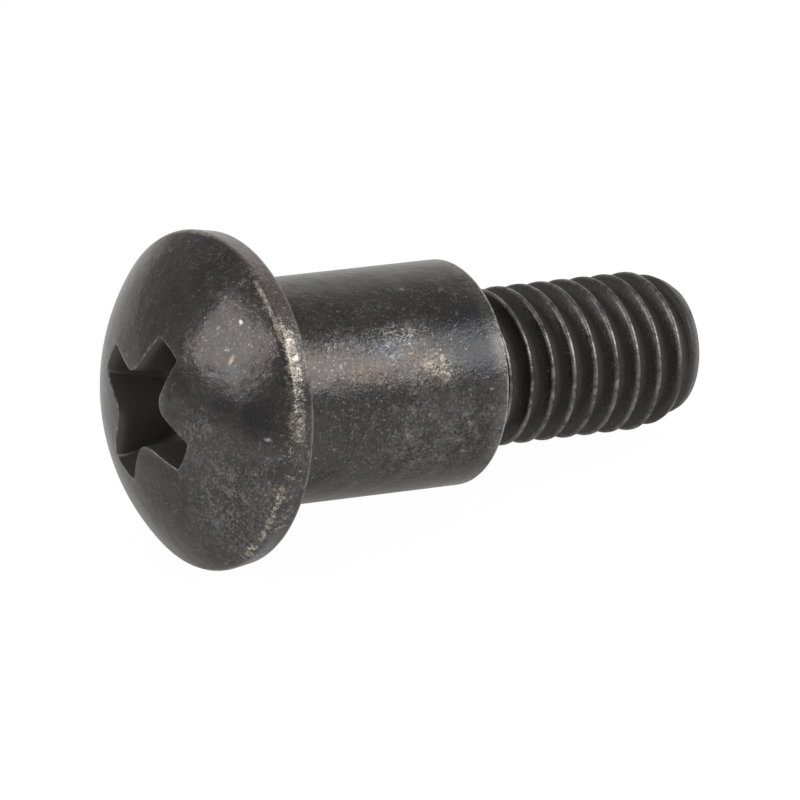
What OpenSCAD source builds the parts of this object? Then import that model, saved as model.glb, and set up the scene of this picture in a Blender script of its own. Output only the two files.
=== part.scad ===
// Shoulder screw: domed head with a cross recess, plain shoulder and a short threaded end.
// It is drawn upright on its axis, head down, and then laid on its head rim and last crest.

/* [Head] */
// Diameter of the head at its widest, where the dome meets the rim
head_d = 10.4; // [9.6:0.1:11]
// Diameter of the head at its under edge
head_under_d = 10.22; // [9.2:0.02:10.4]
// Height of the rim below the dome
rim_h = 0.8; // [0.5:0.1:1.2]
// Radius of the dome
dome_r = 6.95; // [6:0.05:9]
// Small chamfer on the under edge of the head
under_chamfer = 0.08; // [0.04:0.01:0.15]

/* [Recess] */
// Span of the recess across two opposite arms, at the mouth
recess_span = 4.7; // [4:0.1:5]
// Width of each arm
arm_w = 1.1; // [0.9:0.05:1.2]
// Radius of the rounded noses between the arms
nose_r = 0.65; // [0.4:0.05:0.8]
// Depth of the arms below the top of the dome
recess_depth = 2.3; // [1.8:0.1:2.4]
// Slope of the arm ends, from the axis
arm_taper = 13; // [5:1:15]
// Depth of the pointed floor under the arms
point_depth = 0.35; // [0.2:0.05:0.5]
// Turn of the arms about the axis, from the floor line
recess_turn = 16.6; // [0:0.1:90]

/* [Shoulder] */
// Diameter of the plain shoulder
shoulder_d = 7; // [6.5:0.1:7.5]
// Length of the shoulder, from the under face of the head
shoulder_len = 8.25; // [6:0.25:12]
// Chamfer on the shoulder's end edge
shoulder_chamfer = 0.14; // [0.05:0.01:0.3]

/* [Thread] */
// Diameter over the crests
thread_d = 4.86; // [4.6:0.02:5]
// Advance of the thread in one turn
pitch = 0.8; // [0.7:0.05:0.9]
// Depth of the thread
thread_depth = 0.47; // [0.4:0.01:0.5]
// Flat width of a crest
crest_w = 0.1; // [0.06:0.01:0.16]
// Flat width of a root
root_w = 0.16; // [0.1:0.01:0.24]
// Length of the threaded end, from the shoulder
thread_len = 8.1; // [6:0.1:12]
// Length of the chamfer at the tip
tip_chamfer = 1.1; // [0.6:0.1:1.5]
// Diameter of the flat end of the tip
tip_d = 4.08; // [3.4:0.02:4.3]
// Distance of the last full crest on the floor line from the start of the tip chamfer
last_crest_gap = 0.4; // [0.1:0.05:0.8]

/* [Hidden] */
$fn = 96;
black_steel = "#46423f";
// radii, and the places along the axis, measured from the under face of the head
head_r = head_d / 2;
under_r = head_under_d / 2;
shoulder_r = shoulder_d / 2;
crest_r = thread_d / 2;
root_r = crest_r - thread_depth;
dome_centre = sqrt(dome_r * dome_r - head_r * head_r) - rim_h;
head_top = dome_r - dome_centre;
tip_z = shoulder_len + thread_len;
chamfer_z = tip_z - tip_chamfer;
last_crest_z = chamfer_z - last_crest_gap;
// the screw lies with its axis tilted down towards the tip, from the rim to the last full crest
lie_tilt = atan2(head_r - crest_r, last_crest_z + rim_h);
// thread grid: steps in a turn, rows in a pitch, and turns enough to pass both ends
steps = 36;
rows = 4;
first_turn = -ceil((last_crest_z - shoulder_len) / pitch) - 2;
last_turn = ceil((tip_z - last_crest_z) / pitch) + 1;
// the rod that trims the thread at the tip is a little wider than the crests
trim_r = crest_r + 0.05;
// what a cutting shape runs past the metal
over = 1;

// The head is a turned blank, with a slightly tapered rim, inside the ball of the dome.
module head() {
  difference() {
    intersection() {
      translate([0, 0, dome_centre]) sphere(r = dome_r);
      rotate_extrude()
        polygon([[0, -head_top - over], [head_r, -head_top - over], [head_r, -rim_h],
                 [under_r, -under_chamfer], [under_r - under_chamfer, 0], [0, 0]]);
    }
    translate([0, 0, -head_top]) rotate(recess_turn) recess();
  }
}

// One corner between two arms, filled out so that the metal left there is a rounded nose.
module nose_corner() {
  side = arm_w / 2;
  difference() {
    translate([side - over / 10, side - over / 10, -over])
      cube([nose_r + over / 10, nose_r + over / 10, recess_depth + over]);
    translate([side + nose_r, side + nose_r, -2 * over])
      cylinder(h = recess_depth + 3 * over, r = nose_r);
  }
}

// The cross recess is two crossed slots inside a cone, with a pointed floor.
// It is drawn down into the head from the top of the dome.
module recess() {
  mouth_r = recess_span / 2;
  floor_r = mouth_r - recess_depth * tan(arm_taper);
  above_r = mouth_r + over * tan(arm_taper);
  intersection() {
    translate([0, 0, -over]) cylinder(h = recess_depth + over, r1 = above_r, r2 = floor_r);
    union() {
      for (turn = [0, 90]) rotate(turn)
        translate([-recess_span, -arm_w / 2, -over])
          cube([2 * recess_span, arm_w, recess_depth + over]);
      for (turn = [0:90:270]) rotate(turn) nose_corner();
    }
  }
  translate([0, 0, recess_depth - 0.01]) cylinder(h = point_depth, r1 = arm_w / 2, r2 = 0.1);
}

// The shoulder starts inside the head and ends in a small chamfer.
module shoulder() {
  rotate_extrude()
    polygon([[0, -rim_h / 2], [shoulder_r, -rim_h / 2], [shoulder_r, shoulder_len - shoulder_chamfer],
             [shoulder_r - shoulder_chamfer, shoulder_len], [0, shoulder_len]]);
}

// The rows of one pitch, each as [share of the pitch, radius]: a crest flat and a root flat.
crest_share = crest_w / pitch / 2;
root_share = root_w / pitch / 2;
profile = [[-crest_share, crest_r], [crest_share, crest_r],
           [0.5 - root_share, root_r], [0.5 + root_share, root_r]];

// A point of the grid: step i round the axis, row j along it.
function gridPoint(i, j) =
  let (turn = floor(j / rows), spot = profile[j - rows * turn], angle = 360 * i / steps)
  [spot[1] * cos(angle), spot[1] * sin(angle),
   last_crest_z + pitch * (turn + spot[0] + i / steps)];

// The threaded rod is one closed grid wound round the axis, trimmed at the tip.
// After a full turn a row meets the same row of the next pitch.
module thread() {
  low = first_turn * rows;
  count = (last_turn - first_turn) * rows;
  points = [for (j = [0:count]) for (i = [0:steps - 1]) gridPoint(i, low + j),
            [0, 0, last_crest_z + pitch * first_turn],
            [0, 0, last_crest_z + pitch * (last_turn + 1)]];
  low_end = (count + 1) * steps;
  // the number of a point, where step number steps is step 0 one pitch on
  function at(i, j) = i < steps ? j * steps + i : (j + rows) * steps;
  walls = [for (i = [0:steps - 1]) for (j = [0:count - (i < steps - 1 ? 1 : rows + 1)])
             each [[at(i, j), at(i, j + 1), at(i + 1, j)],
                   [at(i + 1, j), at(i, j + 1), at(i + 1, j + 1)]]];
  low_fan = [for (i = [0:steps - 1]) [low_end, at(i, 0), at(i + 1, 0)]];
  low_step = [for (j = [0:rows - 1]) [low_end, at(0, j + 1), at(0, j)]];
  top_fan = [for (i = [0:steps - 2]) [low_end + 1, at(i + 1, count), at(i, count)]];
  top_step = [for (j = [count - rows:count - 1])
                [low_end + 1, at(steps - 1, j), at(steps - 1, j + 1)],
              [low_end + 1, at(0, count), at(steps - 1, count - rows)]];
  intersection() {
    polyhedron(points, concat(walls, low_fan, low_step, top_fan, top_step));
    rotate_extrude()
      polygon([[0, shoulder_len - pitch / 2], [trim_r, shoulder_len - pitch / 2],
               [trim_r, chamfer_z], [tip_d / 2, tip_z], [0, tip_z]]);
  }
}

module shoulder_screw() {
  color(black_steel) rotate([0, 90 + lie_tilt, 0]) {
    head();
    shoulder();
    thread();
  }
}

shoulder_screw();
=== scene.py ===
import math
import bpy
import numpy as np
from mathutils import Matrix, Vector


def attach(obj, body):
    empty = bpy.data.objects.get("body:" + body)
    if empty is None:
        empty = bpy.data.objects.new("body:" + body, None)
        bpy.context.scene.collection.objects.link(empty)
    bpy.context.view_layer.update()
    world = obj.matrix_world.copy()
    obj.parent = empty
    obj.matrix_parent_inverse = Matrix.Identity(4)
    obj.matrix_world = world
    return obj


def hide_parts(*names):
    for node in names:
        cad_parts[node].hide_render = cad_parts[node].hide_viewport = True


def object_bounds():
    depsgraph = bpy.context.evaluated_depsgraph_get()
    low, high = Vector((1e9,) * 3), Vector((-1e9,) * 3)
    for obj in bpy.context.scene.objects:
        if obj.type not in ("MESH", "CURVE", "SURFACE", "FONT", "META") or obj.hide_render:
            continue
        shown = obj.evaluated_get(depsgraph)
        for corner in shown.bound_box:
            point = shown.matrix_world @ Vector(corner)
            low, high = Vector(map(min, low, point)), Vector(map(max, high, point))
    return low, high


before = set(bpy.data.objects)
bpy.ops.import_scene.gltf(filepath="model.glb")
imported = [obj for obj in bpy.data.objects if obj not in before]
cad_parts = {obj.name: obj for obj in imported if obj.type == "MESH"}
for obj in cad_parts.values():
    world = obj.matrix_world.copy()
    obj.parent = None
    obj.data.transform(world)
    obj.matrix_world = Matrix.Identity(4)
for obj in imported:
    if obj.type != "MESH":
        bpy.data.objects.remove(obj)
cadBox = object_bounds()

mm = 0.001
deg = math.pi / 180

# The screw in millimetres along its own axis: 0 is the bearing face, and the tip is positive.
# Angles go round the axis from the line on which the screw lies.
screw = dict(
    headRadius=5.24, underRadius=5.12, rimHeight=0.78, domeRadius=7.07, headHeight=3.103,
    domeEnd=5.08,                # where the rows over the dome end and the turned profile begins
    rimRound=0.35, underRound=0.07, neckRound=0.12,
    shoulderRadius=3.5, shoulderLength=8.25, shoulderRound=0.12,
    faceStart=3.3,               # where the turned profile ends, on the shoulder's end face
    tipLength=16.37, chamferStart=15.357, tipRadius=2.054, tipRound=0.08, tipDish=0.08,
    tipOffset=(-0.06, 0.013),    # how far the tip's cone lies off the axis
    lieTilt=10.037 * deg)        # how far the axis points below level when the screw lies

# The cross recess: four arms inside a cone, a little wider inwards, with rounded noses between them
recess = dict(
    span=4.7, armWidth=1.0, flare=6.3, noseRadius=0.62, cornerRadius=0.09,
    depth=2.3, taper=13.0, pointDepth=0.35, edgeRound=0.045,
    draft=0.05,                  # how much narrower each half of an arm is at the floor
    turn=16.6, offset=(0.03, -0.02),
    offsetFade=(2.4, 2.58),      # the offset fades out over the dome from this radius, over this length
    firstArm=0.12, firstArmFrom=1.2,    # how much longer the first arm is, and where that begins
    # the walls on this side, counted from the first arm, lean out at the mouth
    softEdge=dict(turn=90.0, out=0.13, down=0.26))

# The thread: flat crests and roots with straight flanks, eased where they meet
thread = dict(
    crestRadius=2.46, pitch=0.8, depth=0.48, crestWidth=0.09, flankAngle=30, lastCrest=14.834,
    crestEase=0.03, rootEase=0.07, coneEase=0.06,
    seam=dict(depth=0.012, width=0.022),        # the fine groove that rolling leaves along a crest
    runOut=dict(length=0.45, height=0.2, ease=0.05))    # the root rises to the shoulder over this length

# How finely the surface is sampled
grid = dict(
    outline=(8, 4, 14, 14),      # samples along an arm's end, corner, side and half nose
    floorRows=6, floorReach=(0.12, 0.88), wallRows=12, wallCrowding=1.8, lipRows=5, lipStart=18,
    domeRows=30, domeCrowding=1.25, domeTurn=1.3,
    roundSteps=5, spacing=0.6, rimSpacing=0.09, rimEnd=-0.1, besideRound=0.02,
    faceShares=(0.4, 0.8), sliver=0.002, tipRows=5, dishShares=(0.8, 0.5, 0.2),
    threadRows=(-0.4, -0.33, -0.26, -0.17, -0.1, -0.06, -0.03, 0, 0.03, 0.06, 0.1, 0.17, 0.26, 0.33))

columns = 8 * sum(grid["outline"])
rowsPerTurn = len(grid["threadRows"])
floorZ = recess["depth"] - screw["headHeight"]


def smoothstep(t):
    t = np.clip(t, 0.0, 1.0)
    return t * t * (3.0 - 2.0 * t)


def softMin(a, b, width):        # the lower of two surfaces, eased over width where they meet
    h = np.clip(0.5 + 0.5 * (b - a) / width, 0.0, 1.0)
    return b + (a - b) * h - width * h * (1.0 - h)


def softMax(a, b, width):
    return -softMin(-a, -b, width)


def domeHeight(r):               # a ball: its place along the axis at distance r from it
    ball = screw["domeRadius"]
    return ball - screw["headHeight"] - np.sqrt(ball * ball - r * r)


def crossOutline(endRadius, halfWidth, nose, corner):
    # each row is one outline: an arc round the axis, a small corner, a slanted side and a rounded nose,
    # worked out for an eighth, mirrored to a quarter and turned four times
    endRadius, halfWidth, nose, corner = (
        np.asarray(v, float).reshape(-1, 1) for v in (endRadius, halfWidth, nose, corner))
    flare = recess["flare"] * deg
    outward = math.sin(flare), math.cos(flare)          # square to the side of the arm
    along = math.cos(flare), -math.sin(flare)
    sideGap = halfWidth * math.cos(flare) + recess["span"] / 2 * math.sin(flare)
    reach = np.sqrt((endRadius - corner) ** 2 - (sideGap - corner) ** 2)
    cornerX, cornerY = (outward[i] * (sideGap - corner) + along[i] * reach for i in (0, 1))
    noseAt = (nose + sideGap) / sum(outward)            # the nose's middle lies on the diagonal
    lean = np.arctan2(cornerY, cornerX)
    endT, cornerT, sideT = (np.arange(n).reshape(1, -1) / n for n in grid["outline"][:3])
    noseT = np.arange(grid["outline"][3] + 1).reshape(1, -1) / grid["outline"][3]
    cornerAngle = lean + (math.pi / 2 - flare - lean) * cornerT
    noseAngle = -math.pi / 2 - flare - (math.pi / 4 - flare) * noseT
    eighth = []
    for circle, cornerAt, out in ((np.cos, cornerX, outward[0]), (np.sin, cornerY, outward[1])):
        sideStart, sideEnd = cornerAt + corner * out, noseAt - nose * out
        eighth.append(np.hstack([
            endRadius * circle(lean * endT), cornerAt + corner * circle(cornerAngle),
            sideStart + (sideEnd - sideStart) * sideT, noseAt + nose * circle(noseAngle)]))
    x, y = eighth
    quarterX, quarterY = np.hstack([x, y[:, -2:0:-1]]), np.hstack([y, x[:, -2:0:-1]])
    turns = ((1, 0), (0, 1), (-1, 0), (0, -1))
    allX = np.hstack([c * quarterX - s * quarterY for c, s in turns])
    allY = np.hstack([s * quarterX + c * quarterY for c, s in turns])
    return np.hypot(allX, allY), np.unwrap(np.arctan2(allY, allX), axis=1)


def unevenMouth(r, angle, depth):
    # lengthens the first arm, and moves the mouth outwards on the soft side, less with depth
    soft = recess["softEdge"]
    wayX, wayY = math.cos(soft["turn"] * deg), math.sin(soft["turn"] * deg)
    x, y = r * np.cos(angle), r * np.sin(angle)
    x = x + recess["firstArm"] * smoothstep(x - recess["firstArmFrom"])
    alongX, alongY = (np.roll(v, -1, axis=1) - np.roll(v, 1, axis=1) for v in (x, y))
    facing = (alongY * wayX - alongX * wayY) / np.maximum(np.hypot(alongX, alongY), 1e-9)
    out = soft["out"] * np.clip(facing, 0, 1) ** 2 * (1 - np.clip(depth / soft["down"], 0, 1)) ** 2
    x, y = x + out * wayX, y + out * wayY
    return np.hypot(x, y), np.unwrap(np.arctan2(y, x), axis=1)


def movedRows(r, angle, z, onDome):
    # the recess sits a little off the axis; over the dome the offset fades out, and the height
    # follows the ball
    start, length = recess["offsetFade"]
    fade = 1 - smoothstep((r - start) / length) if onDome else 1.0
    x = r * np.cos(angle) + recess["offset"][0] * fade
    y = r * np.sin(angle) + recess["offset"][1] * fade
    newR = np.hypot(x, y)
    shift = domeHeight(newR) - domeHeight(r)
    return newR, np.arctan2(y, x), z + (shift if onDome else 0)


def roundedPath(points, rounds):
    # a polyline of (radius, height) whose corners are arcs tangent to both sides
    points = np.asarray(points, float)
    steps = grid["roundSteps"]
    out = [points[:1]]
    for i, radius in enumerate(rounds, 1):
        u, v = points[i - 1] - points[i], points[i + 1] - points[i]
        u, v = u / np.linalg.norm(u), v / np.linalg.norm(v)
        half = math.acos(u @ v) / 2
        centre = points[i] + (u + v) / np.linalg.norm(u + v) * radius / math.sin(half)
        first = points[i] + u * radius / math.tan(half) - centre
        last = points[i] + v * radius / math.tan(half) - centre
        start, end = math.atan2(first[1], first[0]), math.atan2(last[1], last[0])
        sweep = (end - start + math.pi) % (2 * math.pi) - math.pi
        angles = start + sweep * np.arange(steps + 1) / steps
        out.append(centre + radius * np.stack([np.cos(angles), np.sin(angles)], 1))
    out.append(points[-1:])
    return np.vstack(out)


def filled(path):
    # extra points along the path's long straight stretches: close together at the rim, and beside
    # both ends of a long stretch, so that it is shaded straight as far as its rounds
    out = [path[:1]]
    for a, b in zip(path[:-1], path[1:]):
        length = np.linalg.norm(b - a)
        spacing = grid["rimSpacing"] if a[1] < grid["rimEnd"] else grid["spacing"]
        n = max(1, math.ceil(length / spacing))
        share = np.arange(1, n + 1) / n
        if length > grid["spacing"]:
            beside = grid["besideRound"] / length
            share = np.concatenate([[beside], share[:-1], [1 - beside, 1]])
        out.append(a + (b - a) * share.reshape(-1, 1))
    return np.vstack(out)


def threadRadius(z, angle):
    # the crest's flat, the flanks or the root, whichever is right at this distance along the axis
    # from the nearest crest, with a run-out at the shoulder, all under the tip's cone
    s, t = screw, thread
    turns = (z - t["lastCrest"]) / t["pitch"] - angle / (2 * math.pi)
    away = np.abs((turns + 0.5) % 1.0 - 0.5) * t["pitch"]
    root = t["crestRadius"] - t["depth"]
    flank = t["crestRadius"] + (t["crestWidth"] / 2 - away) / math.tan(t["flankAngle"] * deg)
    shape = softMin(t["crestRadius"], softMax(root, flank, t["rootEase"]), t["crestEase"])
    shape = shape - t["seam"]["depth"] * np.exp(-(away / t["seam"]["width"]) ** 2)
    runOut = 1 - smoothstep((z - s["shoulderLength"]) / t["runOut"]["length"])
    shape = softMax(shape, root + t["runOut"]["height"] * runOut, t["runOut"]["ease"])
    slope = (t["crestRadius"] - s["tipRadius"]) / (s["tipLength"] - s["chamferStart"])
    offAxis = s["tipOffset"][0] * np.cos(angle) + s["tipOffset"][1] * np.sin(angle)
    cone = t["crestRadius"] - (z - s["chamferStart"]) * slope + offAxis
    return softMin(shape, cone, t["coneEase"])


def recessRows():
    # the pointed floor, the tapered walls, and the small round at the mouth; each block of rows is
    # (radius, angle, height), and the angle is counted from the first arm
    c, g = recess, grid
    level = np.linspace(1, 0, g["wallRows"]) ** g["wallCrowding"]
    endRadius, halfWidth = c["span"] / 2, c["armWidth"] / 2
    wallR, wallA = crossOutline(endRadius - c["depth"] * math.tan(c["taper"] * deg) * level,
                                halfWidth - c["draft"] * level,
                                c["noseRadius"] + 0 * level, c["cornerRadius"] + 0 * level)
    mouthZ = domeHeight(wallR[-1]) + c["edgeRound"]
    wallZ = mouthZ + (floorZ - mouthZ) * level.reshape(-1, 1)
    share = np.linspace(*g["floorReach"], g["floorRows"]).reshape(-1, 1)
    floorHeight = floorZ + c["pointDepth"] * (1 - share) + 0 * wallR[:1]
    floor = wallR[:1] * share, wallA[:1] + 0 * share, floorHeight
    wallR, wallA = unevenMouth(wallR, wallA, wallZ - mouthZ)
    lip = np.linspace(g["lipStart"], 90, g["lipRows"]) * deg
    out = c["edgeRound"] * (1 - np.cos(lip))
    lipR, lipA = crossOutline(endRadius + out, halfWidth + out,
                              c["noseRadius"] - out, c["cornerRadius"] + out)
    lipR, lipA = unevenMouth(lipR, lipA, 0)
    lipZ = domeHeight(lipR) + c["edgeRound"] * (1 - np.sin(lip)).reshape(-1, 1)
    return [floor, (wallR, wallA, wallZ), (lipR, lipA, lipZ)]


def domeRows(lipR, lipA, even):
    # from the lip's last row the outline eases out to circles
    q = (np.linspace(0, 1, grid["domeRows"] + 1)[1:] ** grid["domeCrowding"]).reshape(-1, 1)
    radius = lipR[-1:] + (screw["domeEnd"] - lipR[-1:]) * q
    angle = lipA[-1:] + (even - lipA[-1:]) * smoothstep(q * grid["domeTurn"])
    return radius, angle, domeHeight(radius)


def turnedRows(even):
    # the rim, the bearing face, the shoulder and its end face, as a profile carried round the axis
    s = screw
    corners = [(s["domeEnd"], domeHeight(s["domeEnd"])), (s["headRadius"], -s["rimHeight"]),
               (s["underRadius"], 0), (s["shoulderRadius"], 0),
               (s["shoulderRadius"], s["shoulderLength"]), (s["faceStart"], s["shoulderLength"])]
    rounds = s["rimRound"], s["underRound"], s["neckRound"], s["shoulderRound"]
    path = filled(roundedPath(corners, rounds))[1:]
    share = np.array(grid["faceShares"]).reshape(-1, 1)
    faceR = s["faceStart"] + (threadRadius(s["shoulderLength"], even) - s["faceStart"]) * share
    return [(path[:, :1] + 0 * even, even + 0 * path[:, :1], path[:, 1:] + 0 * even),
            (faceR, even + 0 * share, s["shoulderLength"] + 0 * faceR)]


def threadRows(even):
    # rows follow the crests, and bunch up where they would pass either end; they begin two turns early,
    # since each one climbs a pitch on its way round
    s, t = screw, thread
    firstTurn = math.floor((s["shoulderLength"] - t["lastCrest"]) / t["pitch"]) - 2
    lastTurn = math.ceil((s["tipLength"] - t["lastCrest"]) / t["pitch"])
    number = np.arange(firstTurn * rowsPerTurn, lastTurn * rowsPerTurn + 1).reshape(-1, 1)
    offset = np.array(grid["threadRows"])[number % rowsPerTurn]
    z = t["lastCrest"] + t["pitch"] * (number // rowsPerTurn + even / (2 * math.pi)) + offset
    order = np.arange(len(number)).reshape(-1, 1)
    z = np.maximum(z, s["shoulderLength"] + grid["sliver"] * (order + 1))
    z = np.minimum(z, s["tipLength"] - s["tipRound"] - grid["sliver"] * (len(number) - order))
    return threadRadius(z, even), even + 0 * z, z


def tipRows(even):
    # a small round, then a shallow dish
    s = screw
    turnIn = np.linspace(0, 90, grid["tipRows"]).reshape(-1, 1) * deg
    ringZ = s["tipLength"] - s["tipRound"]
    ringR = threadRadius(ringZ, even)
    share = np.array(grid["dishShares"]).reshape(-1, 1)
    dishZ = s["tipLength"] - s["tipDish"] * (1 - share * share)
    return [(ringR - s["tipRound"] * (1 - np.cos(turnIn)), even + 0 * turnIn,
             ringZ + s["tipRound"] * np.sin(turnIn) + 0 * even),
            ((ringR - s["tipRound"]) * share, even + 0 * share, dishZ + 0 * even)]


def gridFaces(total, threadStart, threadEnd):
    # quads between rows, where the last column meets the first one of the same row, or along the thread
    # that of a turn further on; fans close both ends of the thread's step, the floor and the tip
    at = lambda row, column: row * columns + column
    last = columns - 1
    j, k = np.meshgrid(np.arange(total - 1), np.arange(last), indexing="ij")
    quads = [np.stack([at(j, k), at(j, k + 1), at(j + 1, k + 1), at(j + 1, k)], 2).reshape(-1, 4)]
    flat = np.concatenate([np.arange(0, threadStart), np.arange(threadEnd, total - 1)])
    wound = np.arange(threadStart, threadEnd - rowsPerTurn)
    for row, ahead in ((flat, 0), (wound, rowsPerTurn)):
        quads.append(np.stack([at(row, last), at(row + ahead, 0),
                               at(row + 1 + ahead, 0), at(row + 1, last)], 1))
    low = np.arange(threadStart, threadStart + rowsPerTurn)
    high = np.arange(threadEnd - rowsPerTurn, threadEnd)
    ring = np.arange(columns)
    after = (ring + 1) % columns
    floorPoint, tipPoint = total * columns, total * columns + 1
    tris = [np.stack([at(threadStart, last) + 0 * low, at(low, 0), at(low + 1, 0)], 1),
            np.stack([at(threadEnd, 0) + 0 * high, at(high + 1, last), at(high, last)], 1),
            np.stack([floorPoint + 0 * ring, after, ring], 1),
            np.stack([tipPoint + 0 * ring, at(total - 1, ring), at(total - 1, after)], 1)]
    return np.vstack(quads), np.vstack(tris)


def makeScrew():
    # one closed grid: rows run from the recess's floor out over the dome, along the shoulder and thread
    # to the tip, and a single point closes each end
    turn = recess["turn"] * deg
    round0 = 2 * math.pi * np.arange(columns) / columns
    even = turn + round0
    rows = recessRows()
    mouthRow = len(rows[0][0]) + len(rows[1][0])
    rows.append(domeRows(rows[-1][0], rows[-1][1], round0))
    rows = [movedRows(r, a + turn, z, i == len(rows) - 1) for i, (r, a, z) in enumerate(rows)]
    rows += turnedRows(even)
    threadStart = sum(len(r[0]) for r in rows)
    rows.append(threadRows(even))
    threadEnd = threadStart + len(rows[-1][0]) - 1
    rows += tipRows(even)

    radius, angle, height = (np.vstack([r[i] for r in rows]) for i in range(3))
    points = np.stack([radius * np.cos(angle), radius * np.sin(angle), height], 2).reshape(-1, 3)
    ends = [[0, 0, floorZ + recess["pointDepth"]], [0, 0, screw["tipLength"] - screw["tipDish"]]]
    rowOf = np.append(np.repeat(np.arange(len(radius)), columns), [0, len(radius)])
    points = np.vstack([points, ends])
    quads, tris = gridFaces(len(radius), threadStart, threadEnd)
    return points, quads, tris, wearMarks(points, rowOf, mouthRow)


# Where the finish is worn. Turns are in degrees round the axis. A reach across the rim is in millimetres
# from the rim's corner, and it is positive towards the shoulder.
wear = dict(
    rim=dict(
        line=dict(turns=(-158, -132), reach=(-0.12, -0.01), amount=1.35),
        start=dict(turns=(-144, -134), reach=(-0.06, 0.2), amount=0.75),
        patch=dict(turns=(-138, -118), reach=(-0.08, 0.46), amount=0.72),
        tail=dict(turns=(-124, -98), reach=(-0.14, 0.48), amount=0.58),
        spots=dict(turns=(-170, -40), reach=(-0.25, 0.55), amount=0.36),
        lower=dict(turns=(-86, -46), reach=(-0.34, -0.08), amount=0.62),
        back=dict(turns=(20, 175), reach=(-0.15, 0.4), amount=0.5)),
    rimEase=(9, 0.07),           # how softly a worn stretch ends, round the rim and across it
    corner=dict(amount=0.2, reach=0.12),
    edges=dict(
        shoulder=dict(radius=screw["shoulderRadius"] - 0.02, height=screw["shoulderLength"] - 0.03,
                      amount=1.3, reach=0.08),
        under=dict(radius=screw["underRadius"], height=-0.02, amount=0.45, reach=0.06),
        tip=dict(radius=screw["tipRadius"] + 0.02, height=screw["tipLength"] - 0.05,
                 amount=1.15, reach=0.15)),
    threadFrom=0.05,             # the thread's marks begin this far past the shoulder
    threadWithin=2.6,            # and lie inside this radius
    crest=dict(down=0.055, ease=0.045),         # bare from this far below the crest
    grooveUp=0.44,               # how far up from the root the dirt in the thread reaches
    tipTone=dict(less=0.8, ease=0.4),           # the thread's dark tone lets off on the tip's cone
    lipRows=(0.3, 0.8, 1.0, 1.0, 1.0, 1.0, 0.5),        # over the wall's last two rows and the lip's
    halo=0.2,                    # how far the paler ring round the lip reaches
    dirt=dict(start=0.35, least=0.1),           # the depth where the dirt in the recess begins to thicken and turn paler towards the floor, which is painted light against the recess's shade
    # pale lines down two corners of the arms, at these columns of the outline
    creases=(dict(column=10, amount=1.0, width=1.3), dict(column=70, amount=0.5, width=1.5)),
    creaseDown=dict(start=0.3, length=1.0),     # below this depth the creases fade out, over this length
    band=dict(turns=(165, 222), ease=20, least=0.08, start=-0.1, width=0.2),
    rubbedSide=dict(turns=(-168, -58), turnEase=26, along=(1.2, 8.6), alongEase=1.6),
    rubbedBack=dict(turns=(-20, 160), turnEase=30, amount=0.6),
    rubbedHead=dict(least=0.45, more=0.4, reach=(-1.2, 1), ease=1),
    rubbedThread=0.3,
    domeFrom=0.05,               # the dome's relief begins this far over the rim's corner
    relief=dict(dome=0.36, rim=0.7, thread=0.7, shoulder=0.4, rubbed=0.6))


def between(value, ends, ease):  # 1 well inside the ends, 0 outside, eased over the given width
    return smoothstep((value - ends[0]) / ease + 0.5) * smoothstep((ends[1] - value) / ease + 0.5)


def rimWear(turns, side):
    # a faint line all round the corner, and over it the strongest of the worn stretches
    worn = wear["corner"]["amount"] * np.exp(-(side / wear["corner"]["reach"]) ** 2)
    for stretch in wear["rim"].values():
        spread = between(turns, stretch["turns"], wear["rimEase"][0])
        spread = spread * between(side, stretch["reach"], wear["rimEase"][1])
        worn = np.maximum(worn, stretch["amount"] * spread)
    return worn


def edgeWear(r, z):
    # a round spot of wear on the profile at each sharp edge
    worn = 0 * r
    for edge in wear["edges"].values():
        gap = (r - edge["radius"]) ** 2 + (z - edge["height"]) ** 2
        worn = worn + edge["amount"] * np.exp(-gap / edge["reach"] ** 2)
    return worn


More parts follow.
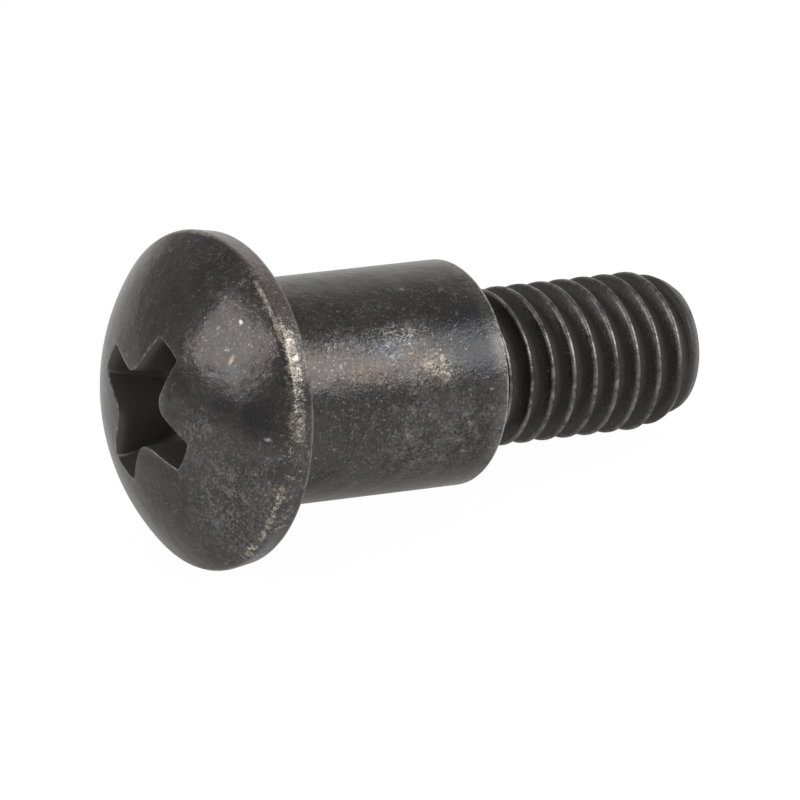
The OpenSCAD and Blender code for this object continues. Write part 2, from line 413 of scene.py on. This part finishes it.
def wearMarks(points, rowOf, mouthRow):
    # a share for each point and each mark of the finish, a little over 1 where the wear is heavy
    s, t, w = screw, thread, wear
    r, z = np.hypot(points[:, 0], points[:, 1]), points[:, 2]
    turns = np.degrees(np.arctan2(points[:, 1], points[:, 0]))
    inRecess = rowOf < mouthRow
    onHead = (z < 0) & ~inRecess
    onThread = (z > s["shoulderLength"] + w["threadFrom"]) & (r < w["threadWithin"])

    # side is the way over the surface from the rim's corner
    ball = s["domeRadius"]
    overDome = ball * (np.arcsin(np.minimum(r / ball, 1)) - math.asin(s["headRadius"] / ball))
    side = np.where(onHead & (z < -s["rimHeight"]), overDome, z + s["rimHeight"])
    b = w["band"]
    bandTone = b["least"] + (1 - b["least"]) * between(turns % 360, b["turns"], b["ease"])
    band = np.where(onHead, smoothstep((side - b["start"]) / b["width"]) * bandTone, 0)

    # the recess: its lip, the paler ring round that, the dirt inside, which turns paler towards the floor
    # as painted light, and the creases in its corners
    lastLip = mouthRow + grid["lipRows"] - 1
    lip = np.interp(rowOf - lastLip, np.arange(1 - len(w["lipRows"]), 1), w["lipRows"], left=0, right=0)
    lipPoints = points[lastLip * columns:(lastLip + 1) * columns]
    offLip = np.zeros(len(points))
    offLip[:-2] = np.linalg.norm(points[:-2].reshape(-1, columns, 3) - lipPoints, axis=2).ravel()
    halo = np.where(rowOf >= lastLip, np.exp(-(offLip / w["halo"]) ** 2), 0)
    depth = z + s["headHeight"]
    # the dirt thickens with depth and so turns paler: painted light against the recess's shade
    start = w["dirt"]["start"]
    dirtAndPaintedLightShare = np.clip((depth - start) / (recess["depth"] - start), w["dirt"]["least"], 1)
    pit = np.where(inRecess, dirtAndPaintedLightShare, 0)
    column = np.append(np.tile(np.arange(columns), len(points[:-2]) // columns), [0, 0])
    crease = np.zeros(len(points))
    for line in w["creases"]:
        crease = np.maximum(crease, line["amount"] - np.abs(column - line["column"]) / line["width"])
    down = smoothstep((depth - w["creaseDown"]["start"]) / w["creaseDown"]["length"])
    crease = np.where(inRecess, crease * (1 - down), 0)

    # how rubbed the surface is, and how strong its grain stands out
    area, back, head = w["rubbedSide"], w["rubbedBack"], w["rubbedHead"]
    rubbed = between(turns, area["turns"], area["turnEase"]) * between(z, area["along"], area["alongEase"])
    rubbed = rubbed + back["amount"] * between(turns, back["turns"], back["turnEase"])
    rubbedHead = head["least"] + head["more"] * between(side, head["reach"], head["ease"])
    rubbed = np.where(z < 0, rubbedHead, np.where(onThread, w["rubbedThread"], rubbed))
    relief = np.select([z < -s["rimHeight"] - w["domeFrom"], z < 0, onThread],
                       [w["relief"]["dome"], w["relief"]["rim"], w["relief"]["thread"]],
                       w["relief"]["shoulder"] + w["relief"]["rubbed"] * rubbed)

    # the thread: bare crests, dirt in the grooves, and a darker tone that lets off on the tip's cone
    crest = smoothstep((r - t["crestRadius"] + w["crest"]["down"]) / w["crest"]["ease"])
    groove = 1 - smoothstep((r - t["crestRadius"] + t["depth"]) / w["grooveUp"])
    tone = 1 - w["tipTone"]["less"] * smoothstep((z - s["chamferStart"]) / w["tipTone"]["ease"])
    return dict(rim=np.where(onHead, rimWear(turns, side), 0), edge=edgeWear(r, z), crest=onThread * crest,
                lip=lip, halo=halo, crease=crease, pit=pit, rubbed=rubbed, relief=relief, band=band,
                thread=onThread * tone, groove=onThread * groove)


def laidDown(points):
    # turns the upright screw so that it lies on its rim and last full crest, and goes to metres
    x, y, z = points.T
    sinT, cosT = math.sin(screw["lieTilt"]), math.cos(screw["lieTilt"])
    return np.stack([z * cosT - x * sinT, y, -x * cosT - z * sinT], 1) * mm


def meshPiece(name, points, quads, tris, worn):
    # a smooth mesh in metres, with the upright coordinates in millimetres kept as its place attribute
    places = laidDown(points)
    halves = np.vstack([quads[:, [0, 1, 2]], quads[:, [0, 2, 3]], tris])
    a, b, c = (places[halves[:, i]] for i in range(3))
    if np.einsum("ij,ij->i", a, np.cross(b, c)).sum() < 0:      # a negative volume: the faces point inwards
        quads, tris = quads[:, ::-1], tris[:, ::-1]
    mesh = bpy.data.meshes.new(name)
    mesh.vertices.add(len(places))
    mesh.vertices.foreach_set("co", places.ravel())
    corners = np.concatenate([quads.ravel(), tris.ravel()])
    sizes = np.concatenate([np.full(len(quads), 4), np.full(len(tris), 3)])
    starts = np.concatenate([[0], np.cumsum(sizes)[:-1]])
    mesh.loops.add(len(corners))
    mesh.loops.foreach_set("vertex_index", corners.astype(np.int32))
    mesh.polygons.add(len(sizes))
    mesh.polygons.foreach_set("loop_start", starts.astype(np.int32))
    mesh.polygons.foreach_set("use_smooth", np.ones(len(sizes), bool))
    mesh.update(calc_edges=True)
    mesh.validate()
    place = mesh.attributes.new("place", "FLOAT_VECTOR", "POINT")
    place.data.foreach_set("vector", points.astype(np.float32).ravel())
    for key, values in worn.items():
        mark = mesh.attributes.new(key, "FLOAT", "POINT")
        mark.data.foreach_set("value", values.astype(np.float32))
    piece = bpy.data.objects.new(name, mesh)
    bpy.context.collection.objects.link(piece)
    return piece


# The blackened finish: colours are reflectances of the metal, patterns are noises over the place in
# millimetres, limits are where a pattern or a mark begins to show and where it shows in full, and
# shares are how much of it then covers what lies under it
blackening = dict(
    colours=dict(
        coat=(0.108, 0.0995, 0.096), coatDark=(0.084, 0.08, 0.078), coatPale=(0.148, 0.137, 0.13),
        brown=(0.125, 0.103, 0.091), band=(0.205, 0.178, 0.168), thread=(0.085, 0.076, 0.073),
        halo=(0.15, 0.141, 0.137), grainPale=(0.4, 0.385, 0.365), pore=(0.03, 0.029, 0.029),
        fleckWarm=(0.5, 0.465, 0.4), fleckCool=(0.36, 0.39, 0.42),
        bare=(0.78, 0.71, 0.6), bareDull=(0.33, 0.3, 0.255), edgeBare=(0.65, 0.61, 0.56),
        # the deep dirt is paler than the shallow: painted light on the recess's floor, where it is most
        # shaded
        crestBare=(0.42, 0.4, 0.37), dirtDeepPaintedLight=(0.128, 0.105, 0.103), dirtShallow=(0.09, 0.082, 0.08),
        dirtGroove=(0.098, 0.085, 0.081), crease=(0.6, 0.57, 0.54)),
    patterns=dict(
        cloud=dict(scale=0.7, detail=4, rough=0.6, warp=0.5),
        brown=dict(scale=1.3, detail=4, rough=0.6, warp=0.3),
        wave=dict(scale=1.5, detail=2, rough=0.55),
        blotch=dict(scale=2.3, detail=5, rough=0.65, warp=0.4),
        tint=dict(scale=3.1, detail=2),
        edge=dict(scale=4.5, detail=5, rough=0.75),
        streak=dict(scale=6, detail=4, rough=0.8, stretch=(1, 1, 0.5)),
        fleck=dict(scale=7.5, detail=3.5, rough=0.85, stretch=(1, 1, 0.75), turn=(0.3, 0.2, 0)),
        grain=dict(scale=11, detail=2.5, rough=0.7),
        fine=dict(scale=24, detail=2, rough=0.6)),
    limits=dict(
        cloud=(0.4, 0.58), blotch=(0.52, 0.68), brown=(0.52, 0.66), halo=(0.3, 0.6), pore=(0.44, 0.28),
        grainPale=(0.57, 0.74), gaps=(0.62, 0.86), fleck=(0.675, 0.77), tint=(0.42, 0.58),
        rim=(0.42, 0.95), edge=(0.3, 0.54), lip=(0.36, 0.62), crest=(0.38, 0.6), bare=(0.42, 0.6),
        # the dirt's limits also make the recess paler towards its floor: painted light
        inside=(0.0, 0.1), dirt=(0.0, 0.9), crease=(0.3, 0.55)),
    shares=dict(blotch=0.5, brown=0.4, fleck=0.75, lip=0.34, crest=0.75, groove=0.75),
    contrast=dict(rubbed=0.65, least=0.12),
    gaps=dict(blotch=0.6, grain=0.8),
    markCore=0.2,                # the share of a mark's reach within which it shows in full
    fleckMore=dict(rubbed=0.055, blotch=0.6),
    rimBreak=dict(streak=2.3, fine=1.3),
    crestBreak=dict(edge=0.35, blotch=0.65),
    roughness=dict(least=0.07, grain=0.12, blotch=0.12, rim=0.12, thread=0.08, dull=0.4),
    bump=dict(fine=0.2, wave=1.9, strength=0.8, distance=0.018 * mm))

# Single marks: their middles in millimetres, how far they reach, their stretch, colour and strength,
# and how far the grain breaks them up
marks = dict(
    rust=dict(at=(-1.86, -2.97, 3.15), reach=0.75, stretch=(1, 1, 0.7),
              colour=(0.17, 0.115, 0.08), strength=0.7, broken=1),
    rustSmall=dict(at=(-2.06, -2.83, 5.05), reach=0.5, stretch=(1, 1, 0.7),
                   colour=(0.18, 0.125, 0.085), strength=0.6, broken=1),
    gold=dict(at=(-1.8, -3.0, 5.75), reach=0.55, stretch=(1, 1, 0.6),
              colour=(0.5, 0.44, 0.33), strength=0.65, broken=1),
    pale=dict(at=(-2.7, -2.22, 4.4), reach=0.5, stretch=(1, 1, 0.4),
              colour=(0.45, 0.45, 0.44), strength=0.8, broken=1),
    blue=dict(at=(-2.4, -2.55, 3.9), reach=0.65, stretch=(1, 1, 0.5),
              colour=(0.13, 0.165, 0.21), strength=0.5, broken=1),
    # a cool tint that also dims the shoulder's highlight towards its end: partly the metal's tone, partly
    # painted shade
    coolTintAndPaintedShade=dict(at=(-2.3, -2.64, 7.6), reach=2.2, stretch=(1, 1, 1),
                 colour=(0.056, 0.06, 0.068), strength=0.95, broken=0.35),
    sideWorn=dict(at=(0.4, -3.48, 5.4), reach=2.7, stretch=(1, 1, 0.8),
                  colour=(0.25, 0.235, 0.225), strength=0.62, broken=1),
    scratch=dict(at=(-2.72, -2.2, 4.35), reach=0.06, stretch=(1, 1, 0.22),
                 colour=(0.5, 0.44, 0.38), strength=0.7, broken=0.3),
    domeGold=dict(at=(-2.72, -2.86, -1.9), reach=0.1, stretch=(0.33, 1, 0.5),
                  colour=(0.45, 0.38, 0.29), strength=0.8, broken=0.5),
    domeBlue=dict(at=(-2.33, -2.83, -2.08), reach=0.45, stretch=(1, 1, 1),
                  colour=(0.075, 0.09, 0.12), strength=0.5, broken=0.8),
    # painted dark reflection on the dome, beside its highlight
    domePaintedDark=dict(at=(-1.39, -3.13, -2.22), reach=0.42, stretch=(1, 0.8, 1),
                  colour=(0.058, 0.06, 0.07), strength=0.8, broken=0.4),
    # painted shade: a darker patch standing in for a dark reflection on the dome
    domePaintedDim=dict(at=(-3.65, -1.35, -1.95), reach=0.75, stretch=(1, 1, 1),
                 colour=(0.066, 0.064, 0.063), strength=0.6, broken=0.4),
    # painted dark reflection of the gap between the lamps, low on the dome
    domeShade=dict(at=(-1.35, -4.2, -1.6), reach=1.1, stretch=(0.8, 1, 1),
                   colour=(0.052, 0.051, 0.053), strength=0.85, broken=0.35),
    domeLow=dict(at=(1.7, -3.8, -1.8), reach=2.3, stretch=(0.8, 1, 1),
                 colour=(0.26, 0.245, 0.235), strength=0.8, broken=1),
    domeWorn=dict(at=(-0.3, -2.6, -2.55), reach=1.0, stretch=(1, 1, 1),
                  colour=(0.26, 0.245, 0.22), strength=0.75, broken=1),
    domePale=dict(at=(-2.15, -2.52, -2.28), reach=0.25, stretch=(1, 1, 1),
                  colour=(0.26, 0.25, 0.24), strength=0.5, broken=0.6),
    nickHigh=dict(at=(-3.76, -2.47, -1.49), reach=0.11, stretch=(0.8, 1, 1.6),
                  colour=(0.7, 0.69, 0.67), strength=1.0, broken=0.5),
    nickMiddle=dict(at=(-3.38, -1.95, -1.92), reach=0.12, stretch=(1, 1.5, 1),
                    colour=(0.3, 0.28, 0.27), strength=0.8, broken=0.5),
    nickLow=dict(at=(-0.79, -4.59, -1.35), reach=0.14, stretch=(1.5, 0.7, 1),
                 colour=(0.6, 0.61, 0.62), strength=1.0, broken=0.6))


class Wiring:
    # short names for the nodes that a material is wired from
    def __init__(self, tree):
        self.tree = tree

    def node(self, kind, **settings):
        made = self.tree.nodes.new(kind)
        for key, value in settings.items():
            setattr(made, key, value)
        return made

    def feed(self, socket, value):
        if isinstance(value, bpy.types.NodeSocket):
            self.tree.links.new(value, socket)
        else:
            socket.default_value = value

    def math(self, operation, *values, clamp=False):
        made = self.node("ShaderNodeMath", operation=operation, use_clamp=clamp)
        for socket, value in zip(made.inputs, values):
            self.feed(socket, value)
        return made.outputs[0]

    def times(self, a, b, clamp=False):
        return self.math("MULTIPLY", a, b, clamp=clamp)

    def timesPlus(self, a, b, c, clamp=False):  # a times b, plus c
        return self.math("MULTIPLY_ADD", a, b, c, clamp=clamp)

    def swayed(self, value, noise, amount):     # a value raised and lowered by a noise about its middle
        return self.timesPlus(self.math("SUBTRACT", noise, 0.5), amount, value)

    def mix(self, factor, a, b):
        made = self.node("ShaderNodeMix", data_type="RGBA")
        self.feed(made.inputs[0], factor)
        self.feed(made.inputs[6], a if isinstance(a, bpy.types.NodeSocket) else (*a, 1))
        self.feed(made.inputs[7], b if isinstance(b, bpy.types.NodeSocket) else (*b, 1))
        return made.outputs[2]

    def ramp(self, value, limits):      # 0 at the first limit, 1 at the second, eased between
        made = self.node("ShaderNodeMapRange", interpolation_type="SMOOTHSTEP")
        self.feed(made.inputs[0], value)
        made.inputs[1].default_value, made.inputs[2].default_value = limits
        return made.outputs[0]

    def vector(self, operation, a, b=None):
        made = self.node("ShaderNodeVectorMath", operation=operation)
        self.feed(made.inputs[0], a)
        if b is not None:
            made.inputs[1].default_value = b
        return made

    def noise(self, place, scale, detail, rough=0.5, warp=0.0, stretch=None, turn=(0, 0, 0)):
        if stretch:
            mapping = self.node("ShaderNodeMapping")
            self.feed(mapping.inputs["Vector"], place)
            mapping.inputs["Rotation"].default_value = turn
            mapping.inputs["Scale"].default_value = stretch
            place = mapping.outputs[0]
        made = self.node("ShaderNodeTexNoise")
        self.feed(made.inputs["Vector"], place)
        settings = dict(Scale=scale, Detail=detail, Roughness=rough, Distortion=warp)
        for key, value in settings.items():
            made.inputs[key].default_value = value
        return made.outputs["Fac"]

    def attribute(self, name, output="Fac"):
        return self.node("ShaderNodeAttribute", attribute_name=name).outputs[output]


def coatLayers(w, noise, rubbed):
    # clouds between a darker and a paler grey, some of them brown; paler on the rim's band and round
    # the recess, darker down in the thread; then pale and dark grain, stronger where it is rubbed
    c, limits, shares = blackening["colours"], blackening["limits"], blackening["shares"]
    colour = w.mix(w.ramp(noise["cloud"], limits["cloud"]), c["coatDark"], c["coat"])
    blotch = w.times(w.ramp(noise["blotch"], limits["blotch"]), shares["blotch"])
    colour = w.mix(blotch, colour, c["coatPale"])
    colour = w.mix(w.times(w.ramp(noise["brown"], limits["brown"]), shares["brown"]), colour, c["brown"])
    colour = w.mix(w.attribute("band"), colour, c["band"])
    colour = w.mix(w.attribute("thread"), colour, c["thread"])
    halo = w.times(w.attribute("halo"), w.ramp(noise["blotch"], limits["halo"]))
    colour = w.mix(halo, colour, c["halo"])
    contrast = w.timesPlus(rubbed, blackening["contrast"]["rubbed"], blackening["contrast"]["least"])
    colour = w.mix(w.times(w.ramp(noise["grain"], limits["pore"]), contrast), colour, c["pore"])
    return w.mix(w.times(w.ramp(noise["grain"], limits["grainPale"]), contrast), colour, c["grainPale"])


def markLayers(w, noise, place, colour):
    # each mark is a soft ball round its middle, that the blotches and the grain break up
    b = blackening
    grain = w.times(noise["grain"], b["gaps"]["grain"])
    gaps = w.ramp(w.timesPlus(noise["blotch"], b["gaps"]["blotch"], grain), b["limits"]["gaps"])
    for mark in marks.values():
        offset = w.vector("SUBTRACT", place, mark["at"]).outputs[0]
        scaled = w.vector("MULTIPLY", offset, mark["stretch"]).outputs[0]
        away = w.vector("LENGTH", scaled).outputs["Value"]
        broken = mark["strength"] * mark["broken"]
        share = w.timesPlus(gaps, broken, mark["strength"] - broken)
        ball = w.ramp(away, (mark["reach"], b["markCore"] * mark["reach"]))
        colour = w.mix(w.times(ball, share), colour, mark["colour"])
    return colour


def fleckLayer(w, noise, rubbed, colour):
    # small ragged spots, warm or cool, more of them where the surface is rubbed and in some patches
    c, limits, more = blackening["colours"], blackening["limits"], blackening["fleckMore"]
    fleck = w.swayed(noise["fleck"], noise["blotch"], more["blotch"])
    fleck = w.ramp(w.timesPlus(rubbed, more["rubbed"], fleck), limits["fleck"])
    tint = w.mix(w.ramp(noise["tint"], limits["tint"]), c["fleckCool"], c["fleckWarm"])
    return w.mix(w.times(fleck, blackening["shares"]["fleck"]), colour, tint)


def wornLayers(w, noise, colour):
    # the envelopes of the mesh, broken by streaks along the axis and by grain; returns the rim's wear too
    b, c, limits, shares = blackening, blackening["colours"], blackening["limits"], blackening["shares"]
    rim = w.attribute("rim")
    for key, amount in b["rimBreak"].items():
        rim = w.swayed(rim, noise[key], amount)
    rim = w.ramp(rim, limits["rim"])
    edge = w.times(w.attribute("edge"), w.ramp(noise["edge"], limits["edge"]), clamp=True)
    lip = w.times(w.attribute("lip"), w.ramp(noise["edge"], limits["lip"]))
    edge = w.timesPlus(lip, shares["lip"], edge, clamp=True)
    crest = w.times(noise["blotch"], b["crestBreak"]["blotch"])
    crest = w.ramp(w.timesPlus(noise["edge"], b["crestBreak"]["edge"], crest), limits["crest"])
    crest = w.times(w.times(w.attribute("crest"), crest), shares["crest"])
    colour = w.mix(crest, colour, c["crestBare"])
    colour = w.mix(edge, colour, c["edgeBare"])
    bare = w.mix(w.ramp(noise["edge"], limits["bare"]), c["bareDull"], c["bare"])
    return w.mix(rim, colour, bare), rim


def dirtAndPaintedLightLayers(w, noise, colour):
    # dull dirt in the recess, thicker towards the floor and paler there as painted light against the
    # recess's shade, and dirt in the grooves; returns its share too
    c, limits = blackening["colours"], blackening["limits"]
    pit = w.attribute("pit")
    inside = w.ramp(pit, limits["inside"])
    # the recess's dirt turns paler towards the floor: painted light
    colour = w.mix(inside, colour, w.mix(w.ramp(pit, limits["dirt"]), c["dirtShallow"], c["dirtDeepPaintedLight"]))
    crease = w.times(w.attribute("crease"), w.ramp(noise["edge"], limits["crease"]))
    colour = w.mix(crease, colour, c["crease"])
    groove = w.times(w.attribute("groove"), blackening["shares"]["groove"])
    return w.mix(groove, colour, c["dirtGroove"]), w.math("MAXIMUM", inside, groove)


def blackenedSteel():
    # dark oxide over steel: faint clouds, fine grain and pores, a few stains, painted dark reflections on
    # the dome and painted shade at the shoulder's end, pale specks where it is rubbed, worn through to the
    # metal on the rim, the edges and the crests, and dull dirt in the recess and the thread, the recess's
    # paler towards its floor as painted light
    material = bpy.data.materials.new("blackenedSteel")
    material.use_nodes = True
    w = Wiring(material.node_tree)
    shader = material.node_tree.nodes["Principled BSDF"]
    place = w.attribute("place", "Vector")
    noise = {name: w.noise(place, **settings) for name, settings in blackening["patterns"].items()}
    rubbed = w.attribute("rubbed")
    colour = coatLayers(w, noise, rubbed)
    colour = markLayers(w, noise, place, colour)
    colour = fleckLayer(w, noise, rubbed, colour)
    colour, rim = wornLayers(w, noise, colour)
    colour, dull = dirtAndPaintedLightLayers(w, noise, colour)
    w.feed(shader.inputs["Base Color"], colour)
    w.feed(shader.inputs["Metallic"], w.math("SUBTRACT", 1.0, dull))

    # roughness: a little more in the grain and the blotches, where it is worn, and most in the dirt
    r = blackening["roughness"]
    rough = w.timesPlus(noise["blotch"], r["blotch"], r["least"])
    rough = w.timesPlus(noise["grain"], r["grain"], rough)
    for layer, key in ((rim, "rim"), (w.attribute("thread"), "thread"), (dull, "dull")):
        rough = w.timesPlus(layer, r[key], rough)
    w.feed(shader.inputs["Roughness"], rough)

    # height: the grain as strong as the surface's relief, on a slow wave
    h = blackening["bump"]
    grain = w.timesPlus(noise["fine"], h["fine"], noise["grain"])
    bump = w.node("ShaderNodeBump")
    bump.inputs["Strength"].default_value = h["strength"]
    bump.inputs["Distance"].default_value = h["distance"]
    w.feed(bump.inputs["Height"],
           w.timesPlus(grain, w.attribute("relief"), w.times(noise["wave"], h["wave"])))
    w.feed(shader.inputs["Normal"], bump.outputs[0])
    return material


# Camera of the photograph, seen as 800 pixels square, and the studio round the screw. Lengths are
# millimetres for the camera, but metres for its clip, the floor and the lamps.
studio = dict(
    azimuth=-32.448, elevation=28.431, distance=331.88, aim=(4.561, -2.933, -0.052), focal=490.68,
    sensor=36.0, clip=(0.01, 10),
    floorSize=1.2, floorShade=0.96, floorWhite=1.05, floorGlow=0.93, floorMirrored=0.25,
    sky=0.34, skyGlow=1.0, skyMirrored=0.11, lampsAway=0.5)
# A lamp's turn is counted from the far side, clockwise seen from above. It is as wide and as high as
# these angles seen from the screw, and its glow is its brightness beside plain white.
lamps = dict(
    right=dict(turn=100, rise=29, wide=46, high=29, glow=1.87),
    left=dict(turn=-116, rise=33, wide=40, high=32, glow=1.42),
    back=dict(turn=4, rise=14, wide=62, high=34, glow=0.34))


def heading(azimuth, elevation):        # unit vector of a camera that looks along it, azimuth 0 along +Y
    a, e = azimuth * deg, elevation * deg
    return Vector((-math.sin(a) * math.cos(e), math.cos(a) * math.cos(e), -math.sin(e)))


def makeCamera():
    data = bpy.data.cameras.new("photoCamera")
    data.sensor_width, data.lens = studio["sensor"], studio["focal"]
    data.clip_start, data.clip_end = studio["clip"]
    camera = bpy.data.objects.new("photoCamera", data)
    bpy.context.collection.objects.link(camera)
    look = heading(studio["azimuth"], studio["elevation"])
    camera.location = (Vector(studio["aim"]) - look * studio["distance"]) * mm
    camera.rotation_euler = look.to_track_quat("-Z", "Y").to_euler()
    bpy.context.scene.camera = camera


def softBox(name, box):
    # a flat rectangular lamp that faces the screw
    look, away = heading(studio["azimuth"], 0), studio["lampsAway"]
    turn, rise = math.atan2(look.y, look.x) - box["turn"] * deg, box["rise"] * deg
    way = Vector((math.cos(turn) * math.cos(rise), math.sin(turn) * math.cos(rise), math.sin(rise)))
    data = bpy.data.lights.new(name, "AREA")
    data.shape = "RECTANGLE"
    data.size = 2 * away * math.tan(box["wide"] / 2 * deg)
    data.size_y = 2 * away * math.tan(box["high"] / 2 * deg)
    data.energy = box["glow"] * math.pi * data.size * data.size_y
    lamp = bpy.data.objects.new(name, data)
    bpy.context.collection.objects.link(lamp)
    lamp.location = way * away
    lamp.rotation_euler = (-way).to_track_quat("-Z", "Y").to_euler()


def whiteShare(w, seen, mirrored):      # how much of the plain white the camera sees, and metal and glass
    path = w.node("ShaderNodeLightPath")
    bounced = w.math("MAXIMUM", path.outputs["Is Glossy Ray"], path.outputs["Is Transmission Ray"])
    return w.timesPlus(path.outputs["Is Camera Ray"], seen, w.times(bounced, mirrored))


def makeFloor(floorHeight):
    # a plain sheet that keeps the screw's shadow, blended into white where the camera sees it
    half = studio["floorSize"] / 2
    corners = [(x * half, y * half, floorHeight) for x, y in ((-1, -1), (1, -1), (1, 1), (-1, 1))]
    mesh = bpy.data.meshes.new("floor")
    mesh.from_pydata(corners, [], [(0, 1, 2, 3)])
    floor = bpy.data.objects.new("floor", mesh)
    bpy.context.collection.objects.link(floor)
    material = bpy.data.materials.new("paleFloor")
    material.use_nodes = True
    w = Wiring(material.node_tree)
    w.tree.nodes.clear()
    diffuse = w.node("ShaderNodeBsdfDiffuse")
    diffuse.inputs["Color"].default_value = (*[studio["floorShade"]] * 3, 1)
    glow = w.node("ShaderNodeEmission")
    glow.inputs["Strength"].default_value = studio["floorWhite"]
    blend = w.node("ShaderNodeMixShader")
    w.feed(blend.inputs[0], whiteShare(w, studio["floorGlow"], studio["floorMirrored"]))
    w.feed(blend.inputs[1], diffuse.outputs[0])
    w.feed(blend.inputs[2], glow.outputs[0])
    output = w.node("ShaderNodeOutputMaterial")
    w.feed(output.inputs[0], blend.outputs[0])
    mesh.materials.append(material)


def makeSky():
    # a grey room that the camera sees as white, and metal and glass as a little paler than it is
    world = bpy.data.worlds.new("studio")
    bpy.context.scene.world = world
    world.use_nodes = True
    w = Wiring(world.node_tree)
    background = world.node_tree.nodes["Background"]
    share = whiteShare(w, studio["skyGlow"], studio["skyMirrored"])
    w.feed(background.inputs["Color"], w.mix(share, (studio["sky"],) * 3, (1, 1, 1)))


points, quads, tris, worn = makeScrew()
print("screw grid", len(points), "points", 2 * len(quads) + len(tris), "triangles")
piece = meshPiece("screwSurface", points, quads, tris, worn)
piece.data.materials.append(blackenedSteel())
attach(piece, "root")
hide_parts("shoulder_screw")
print("blackened steel done")

makeCamera()
makeFloor(cadBox[0][2])
makeSky()
for name, lamp in lamps.items():
    softBox(name + "Box", lamp)
bpy.context.scene.view_settings.view_transform = "Standard"
print("camera and studio done")
